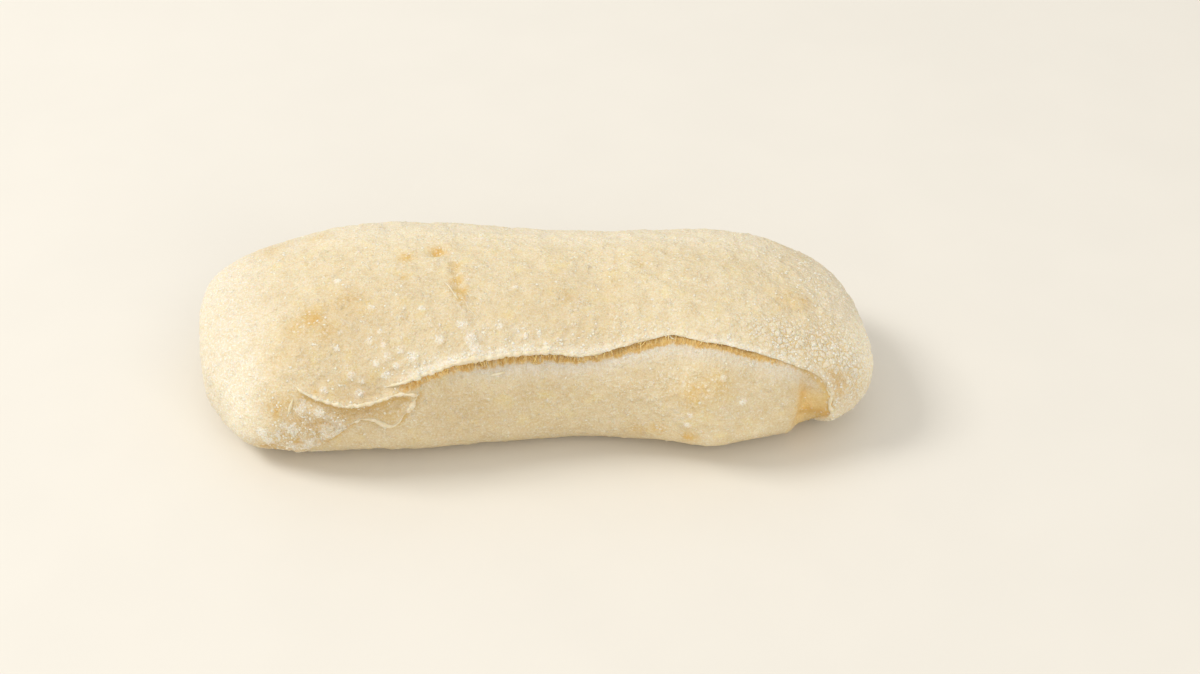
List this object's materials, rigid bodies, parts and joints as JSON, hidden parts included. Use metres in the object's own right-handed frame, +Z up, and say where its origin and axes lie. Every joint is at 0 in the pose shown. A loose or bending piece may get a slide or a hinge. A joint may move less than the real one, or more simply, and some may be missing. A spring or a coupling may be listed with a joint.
{
  "type": "ciabatta loaf",
  "caption": "Pale slipper-shaped ciabatta loaf with a flat base, a floury crust, and an upper crust that folds down over the front as a flap with a torn edge.",
  "frame": {"origin": "middle of the loaf's bounding box, on the surface that it rests on", "axes": "+X along the loaf to the end where the flap's edge reaches the foot, -Y to the side that shows the flap's edge, +Z up"},
  "size_m": [0.2612, 0.1086, 0.0585],
  "materials": {
    "pale_crust": null
  },
  "bodies": {
    "root": {"loaf": "pale_crust"}
  },
  "joints": []
}
